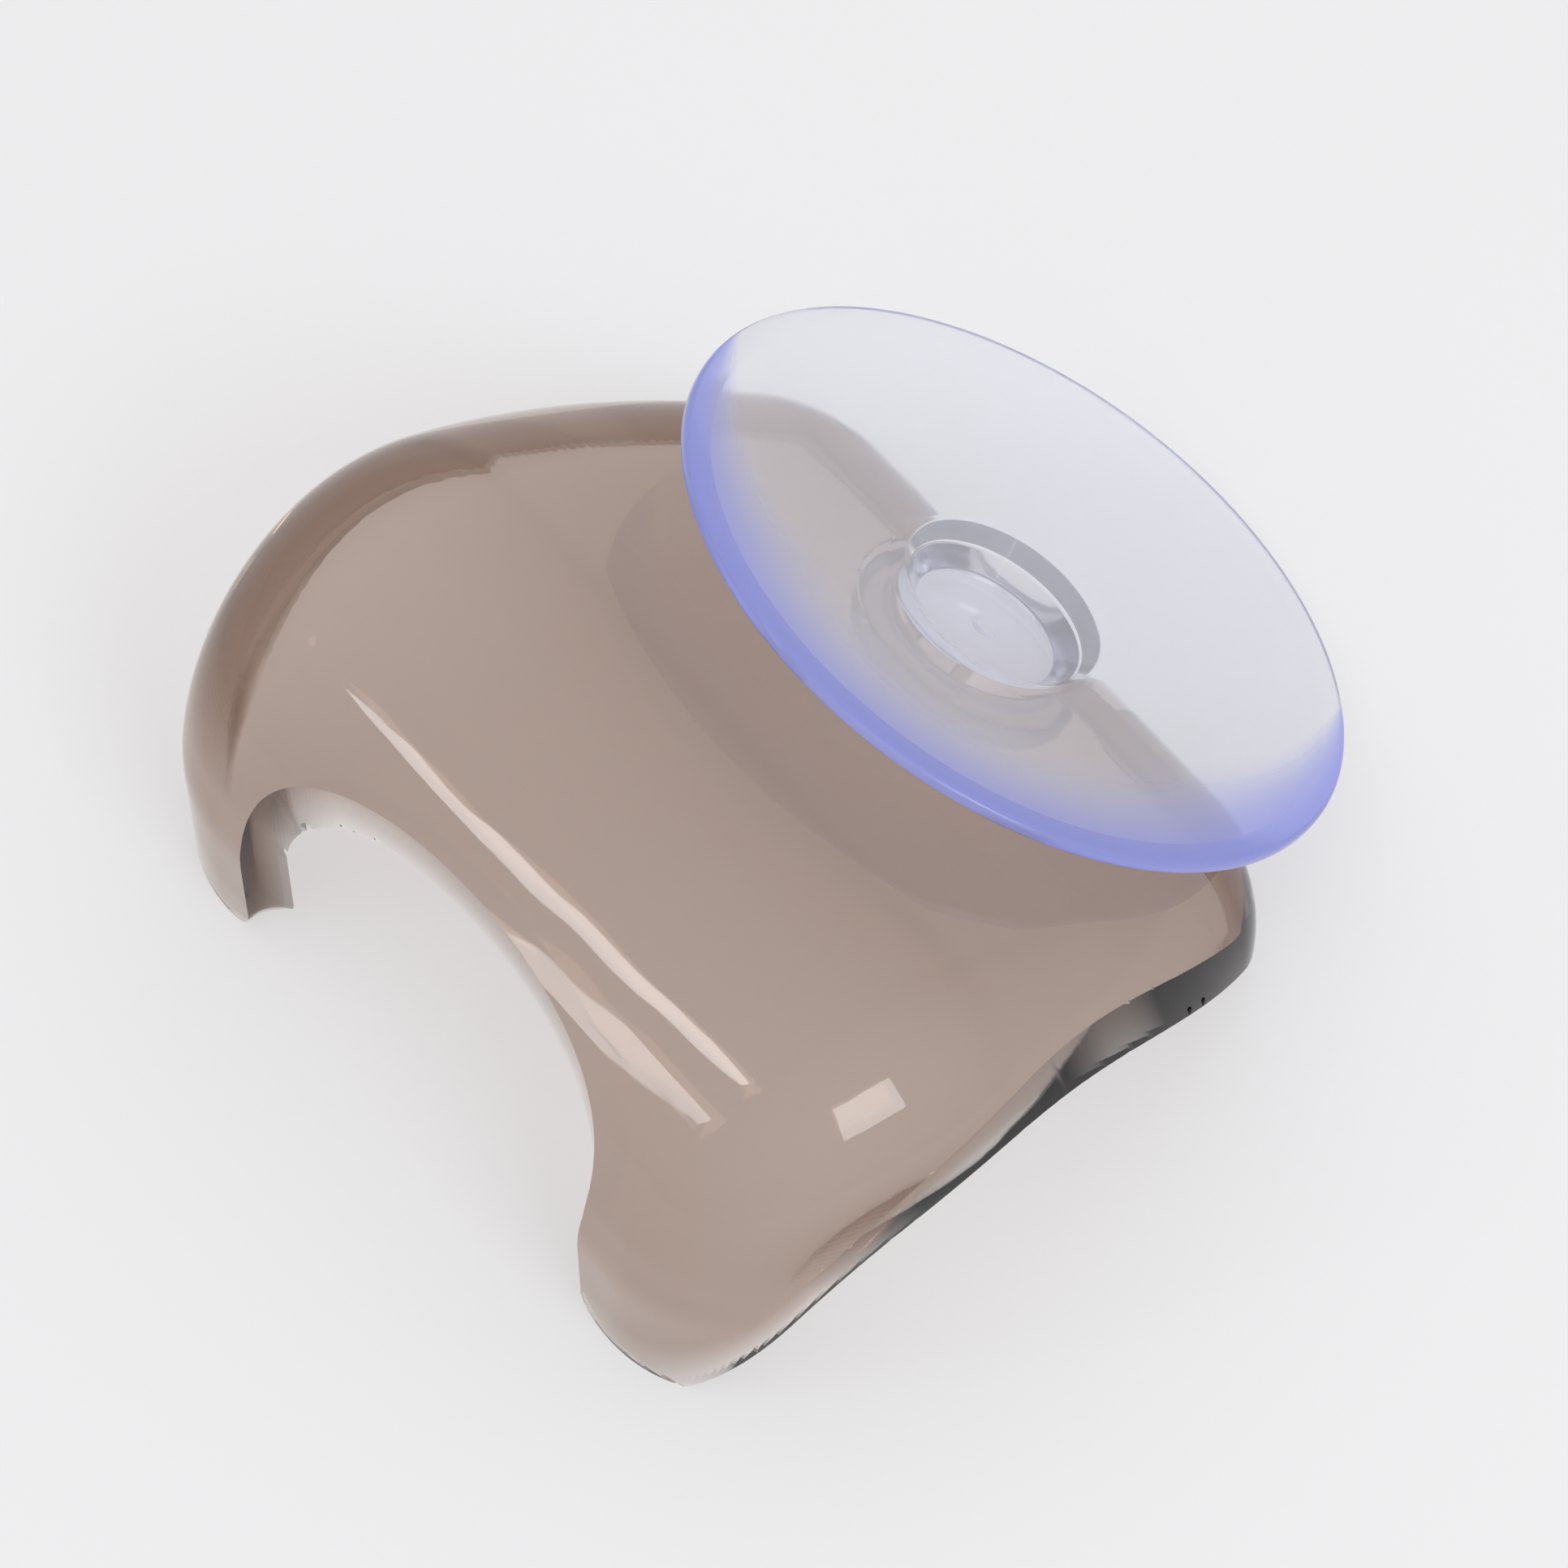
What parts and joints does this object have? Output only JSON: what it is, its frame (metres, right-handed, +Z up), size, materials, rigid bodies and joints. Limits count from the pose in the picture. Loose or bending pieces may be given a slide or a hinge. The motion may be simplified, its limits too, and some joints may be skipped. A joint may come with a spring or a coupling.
{
  "type": "razor holder",
  "caption": "Clear tinted hood on two front legs with a wide notch for a razor's handle, held on a smooth wall by a round suction cup in its back edge.",
  "frame": {"origin": "centre of the bounding box on the table plane, with the holder lying on its two front legs and its back edge", "axes": "+Z up from the table, +Y from the front wall with the razor notch to the back edge with the cup, X across the symmetric bracket"},
  "size_m": [0.0588, 0.0646, 0.0265],
  "materials": {
    "tinted_plastic": "high gloss transparent smoke-brown moulding",
    "clear_pvc": "soft clear PVC with a faint blue tint, satin inside the dish and glossy at the rim"
  },
  "bodies": {
    "bracket": {"bracket": "tinted_plastic"},
    "cup": {"suction_cup": "clear_pvc"}
  },
  "joints": [
    {"name": "cup_spin", "type": "hinge", "parent": "bracket", "child": "cup", "pos_m": [0, 0.01124, 0.01015], "axis": [0.0854, 0.5629, 0.8221], "continuous": true}
  ]
}
